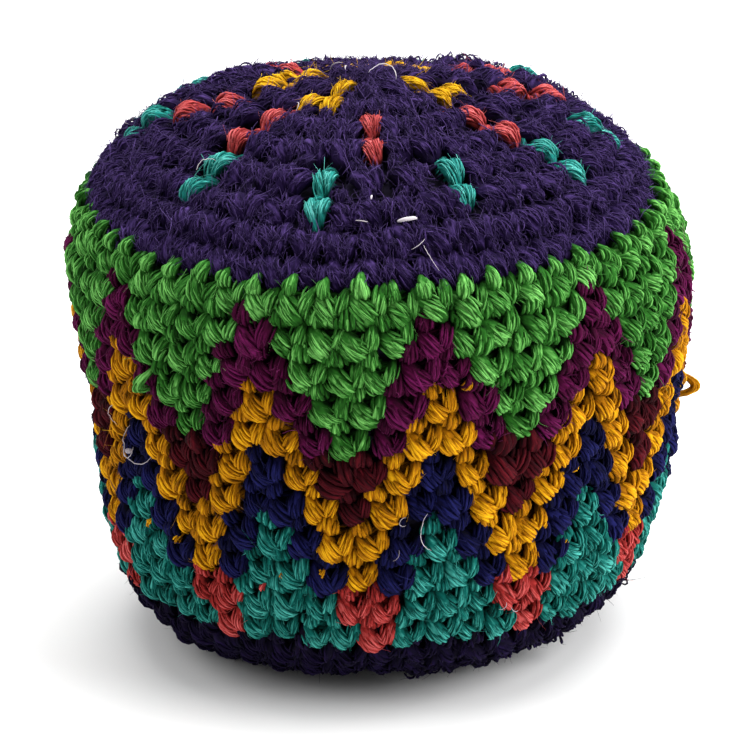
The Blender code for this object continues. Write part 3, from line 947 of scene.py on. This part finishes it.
class Nodes:
    """Adds nodes to a material and links them, so that each material reads in a few lines."""

    def __init__(self, name):
        self.material = bpy.data.materials.new(name)
        self.material.use_nodes = True
        self.tree = self.material.node_tree
        self.shader = self.tree.nodes["Principled BSDF"]

    def add(self, kind, **values):
        node = self.tree.nodes.new(kind)
        for name, value in values.items():
            setattr(node, name, value)
        return node

    def feed(self, socket, value):
        """Set a socket, or link it where the value is another node's output."""
        if isinstance(value, bpy.types.NodeSocket):
            self.tree.links.new(value, socket)
        else:
            socket.default_value = value

    def shade(self, name, value):
        """Feed a socket of the shader."""
        self.feed(self.shader.inputs[name], value)

    def reckon(self, operation, first, second=0.0):
        node = self.add("ShaderNodeMath", operation=operation)
        self.feed(node.inputs[0], first)
        self.feed(node.inputs[1], second)
        return node.outputs[0]

    def weigh(self, parts):
        """Return the sum of several values, each times its weight."""
        total = 0.0
        for value, weight in parts:
            node = self.add("ShaderNodeMath", operation="MULTIPLY_ADD")
            self.feed(node.inputs[0], value)
            self.feed(node.inputs[1], weight)
            self.feed(node.inputs[2], total)
            total = node.outputs[0]
        return total

    def span(self, value, low, high):
        """Spread a value from 0 to 1 over a range."""
        return self.weigh(((value, high - low), (1.0, low)))

    def attribute(self, name):
        return self.add("ShaderNodeAttribute", attribute_name=name).outputs["Fac"]

    def steps(self, value, start, end):
        """Return 0 before the start and 1 past the end, with a soft step between them."""
        node = self.add("ShaderNodeMapRange", interpolation_type="SMOOTHSTEP")
        self.feed(node.inputs["Value"], value)
        node.inputs["From Min"].default_value = start
        node.inputs["From Max"].default_value = end
        return node.outputs["Result"]

    def split(self, vector):
        """Return the first two coordinates of a vector."""
        node = self.add("ShaderNodeSeparateXYZ")
        self.feed(node.inputs[0], vector)
        return node.outputs[0], node.outputs[1]

    def join(self, *coordinates):
        node = self.add("ShaderNodeCombineXYZ")
        for socket, value in zip(node.inputs, coordinates):
            self.feed(socket, value)
        return node.outputs[0]

    def noise(self, vector, scale, detail):
        node = self.add("ShaderNodeTexNoise")
        self.feed(node.inputs["Vector"], vector)
        node.inputs["Scale"].default_value = scale
        node.inputs["Detail"].default_value = detail
        return node.outputs["Fac"]

    def bump(self, height, distance):
        node = self.add("ShaderNodeBump")
        node.inputs["Distance"].default_value = distance
        self.feed(node.inputs["Height"], height)
        return node.outputs["Normal"]

    def ramp(self, value, positions, colours):
        """Turn a value into a colour, by colours at a few positions."""
        node = self.add("ShaderNodeValToRGB")
        self.feed(node.inputs["Fac"], value)
        stops = node.color_ramp.elements
        while len(stops) < len(positions):
            stops.new(positions[len(stops)])
        for stop, position, colour in zip(stops, positions, colours):
            stop.position = position
            stop.color = colour
        return node.outputs["Color"]

    def speckle(self, scale, detail, colours):
        """Colour the shader with soft specks, from one colour to another."""
        texture = self.add("ShaderNodeTexCoord").outputs["Object"]
        speck = self.noise(texture, scale, detail)
        self.shade("Base Color", self.ramp(speck, SPECKLE_STOPS, colours))


def yarn_material(colour):
    """Spun yarn: every ply has its own tone, with streaks of fibre along it, a painted highlight on
    its ridges, painted shade in deep spots, and a soft sheen.
    """
    body, lit, ragged, *_ = YARNS[colour]
    nodes = Nodes(colour + "_yarn")
    around, along = nodes.split(nodes.add("ShaderNodeUVMap", uv_map="strand").outputs["UV"])
    tone = nodes.attribute("tone")
    fibre = fibre_streaks(nodes, around, along, tone)
    # The ramp's darkest colour is painted shade, and its lit colour a painted highlight
    shade = (*(c * SHADE_SHARE for c in linear(body)[:3]), 1.0)
    light = yarn_tone_and_painted_light(nodes, around, fibre, tone, ragged)
    nodes.shade("Base Color", nodes.ramp(light, YARN_STOPS, (shade, linear(body), linear(lit))))
    nodes.shade("Normal", nodes.bump(fibre, FIBRE_RELIEF))
    nodes.shade("Roughness", nodes.span(fibre, *YARN_ROUGHNESS))
    nodes.shade("Specular IOR Level", YARN_GLOSS)
    nodes.shade("Sheen Weight", YARN_SHEEN + RAGGED_SHEEN_GAIN * ragged)
    nodes.shade("Sheen Roughness", SHEEN_ROUGHNESS)
    nodes.shade("Sheen Tint", linear(lit))
    return nodes.material


def fibre_streaks(nodes, around, along, tone):
    """Return noise that is drawn out into fibres winding round a ply, other ones on each strand."""
    seed = nodes.reckon("MULTIPLY", tone, TONE_SPREAD)
    slant = nodes.reckon("MULTIPLY", along, FIBRE_SLANT)
    across = nodes.reckon("MULTIPLY", nodes.reckon("ADD", around, slant), FIBRES_A_PLY)
    down = nodes.reckon("MULTIPLY", along, FIBRE_WAVE)
    return nodes.noise(nodes.join(across, down, seed), 1.0, FIBRE_DETAIL)


def yarn_tone_and_painted_light(nodes, around, fibre, tone, ragged):
    """Return how light a spot of a yarn is: random fibres and tone, a painted highlight on the ridges
    of its plies most, and painted shade on deep spots.
    """
    under = nodes.reckon("COSINE", nodes.reckon("MULTIPLY", around, math.tau))
    # Painted highlight on the ridge of each ply, so that the grooves between plies stay painted darker
    ridge = nodes.steps(under, -RIDGE_START, -RIDGE_FULL)
    parts = (
        (fibre, FIBRE_LIGHT),
        (tone, TONE_LIGHT - RAGGED_TONE_LOSS * ragged),
        (ridge, PAINTED_RIDGE_HIGHLIGHT - RAGGED_RIDGE_LOSS * ragged),
        # Painted shade on the deep spots of each stitch
        (nodes.attribute("depth"), PAINTED_HEIGHT_SHADE),
        (1.0, LEAST_LIGHT + RAGGED_LEAST_GAIN * ragged),
    )
    return nodes.weigh(parts)


def hair_material(name, body, lit):
    """Loose fibres: each hair a little lighter or darker."""
    nodes = Nodes(name)
    colours = (linear(body), linear(lit))
    nodes.shade("Base Color", nodes.ramp(nodes.attribute("tone"), (0.0, 1.0), colours))
    nodes.shade("Roughness", HAIR_ROUGHNESS)
    nodes.shade("Specular IOR Level", HAIR_GLOSS)
    return nodes.material


def make_cover(outline):
    """The crocheted cover, its fuzz and the lint that clings to it."""
    yarns, fuzzes = crochet(outline)
    add_loose_bits(yarns, outline)
    lint = add_lint(outline).make("lint", hair_material("lint", *LINT_COLOURS))
    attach(lint, "root")
    materials = {colour: yarn_material(colour) for colour in YARNS}
    for name, (yarn, node, colour, slot) in yarns.items():
        piece = yarn.make(name, materials[colour])
        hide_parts(node)
        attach(piece, "root")
    hair_materials = {c: hair_material(c + "_fuzz", *YARNS[c][:2]) for c in YARNS}
    for name, (fuzz, colour, slot) in fuzzes.items():
        piece = fuzz.make(name, hair_materials[colour])
        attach(piece, "root")


def pellet_rise(azimuths, arc, outline):
    """Return how far the skin of the fill rises over the pellets under it."""
    row = arc / PELLET_PITCH
    count = max(round(math.tau * outline.radius_at(arc) / PELLET_PITCH), 1)
    round_share = np.cos(azimuths * count + math.pi * math.floor(row))
    return PELLET_RISE * abs(math.sin(math.pi * row)) * (1 + round_share) / 2


def fill_skin(outline):
    """Return the skin of the fill: rings of points from the middle of the base to the crown's."""
    depth = FILL_DEPTH_ROUNDS * outline.round_height
    rows = round(outline.length / PELLET_PITCH)
    columns = POINTS_A_PELLET * round(math.tau * RADIUS / PELLET_PITCH)
    azimuths = np.arange(columns) * math.tau / columns
    rings = []
    for arc in np.linspace(0, outline.length, POINTS_A_PELLET * rows + 1):
        rises = pellet_rise(azimuths, arc, outline)
        frames = [outline.axes(azimuth, arc) for azimuth in azimuths]
        rings.append([spot - axes[2] * (depth - rise) for (spot, axes), rise in zip(frames, rises)])
    return np.array(rings)


def make_fill(outline):
    """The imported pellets, as the one lumpy mass that the cover is drawn tight over."""
    fill = YarnMesh()
    rings = fill_skin(outline)[None]
    fill.add(rings, 0.0, np.zeros(rings.shape[:3]))
    nodes = Nodes("pellets")
    colours = [linear(colour) for colour in PELLET_COLOURS]
    nodes.speckle(PELLET_SPECK_SCALE, PELLET_SPECK_DETAIL, colours)
    nodes.shade("Roughness", PELLET_ROUGHNESS)
    piece = fill.make("pellet_mass", nodes.material)
    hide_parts("pellet_fill")
    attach(piece, "root")


def make_camera():
    data = bpy.data.cameras.new("camera")
    data.lens = CAMERA_LENS
    data.sensor_width = SENSOR_WIDTH
    data.shift_x = -AIM_RIGHT_PIXELS / IMAGE_WIDTH
    data.shift_y = -AIM_UP_PIXELS / IMAGE_WIDTH
    data.clip_start = CAMERA_CLIP
    camera = bpy.data.objects.new("camera", data)
    away = Vector((0.0, -math.cos(CAMERA_ELEVATION), math.sin(CAMERA_ELEVATION)))
    place = Vector((0.0, 0.0, CAMERA_AIM)) + away * CAMERA_DISTANCE
    turn = away.to_track_quat("Z", "Y").to_matrix().to_4x4()
    camera.matrix_world = Matrix.Translation(place) @ turn @ Matrix.Rotation(CAMERA_ROLL, 4, "Z")
    bpy.context.scene.collection.objects.link(camera)
    bpy.context.scene.camera = camera


def make_floor():
    """A sheet of pale paper, with tones so near each other that it looks plain."""
    bpy.ops.mesh.primitive_plane_add(size=FLOOR_SIZE)
    floor = bpy.context.object
    floor.name = "floor"
    nodes = Nodes("paper")
    greys = [(grey, grey, grey, 1.0) for grey in FLOOR_GREYS]
    nodes.speckle(FLOOR_SPECK_SCALE, FLOOR_SPECK_DETAIL, greys)
    nodes.shade("Roughness", FLOOR_ROUGHNESS)
    floor.data.materials.append(nodes.material)


def add_light(name, place, power):
    """Add a soft round light that is turned to the middle of the footbag."""
    data = bpy.data.lights.new(name, "AREA")
    data.shape = "DISK"
    data.size = LIGHT_SIZE
    data.energy = power
    light = bpy.data.objects.new(name, data)
    light.location = place
    aim = Vector((0.0, 0.0, HEIGHT / 2)) - Vector(place)
    light.rotation_euler = aim.to_track_quat("-Z", "Y").to_euler()
    bpy.context.scene.collection.objects.link(light)


def make_studio():
    """A pale floor, soft lights overhead and on both sides, and some white light all round."""
    make_floor()
    for name, place, power in LIGHTS:
        add_light(name, place, power)
    world = bpy.data.worlds.new("studio")
    world.use_nodes = True
    background = world.node_tree.nodes["Background"]
    background.inputs["Color"].default_value = (1.0, 1.0, 1.0, 1.0)
    background.inputs["Strength"].default_value = WORLD_STRENGTH
    bpy.context.scene.world = world
    bpy.context.scene.view_settings.view_transform = "Standard"


outline = Outline()
make_camera()
make_studio()
make_cover(outline)
make_fill(outline)
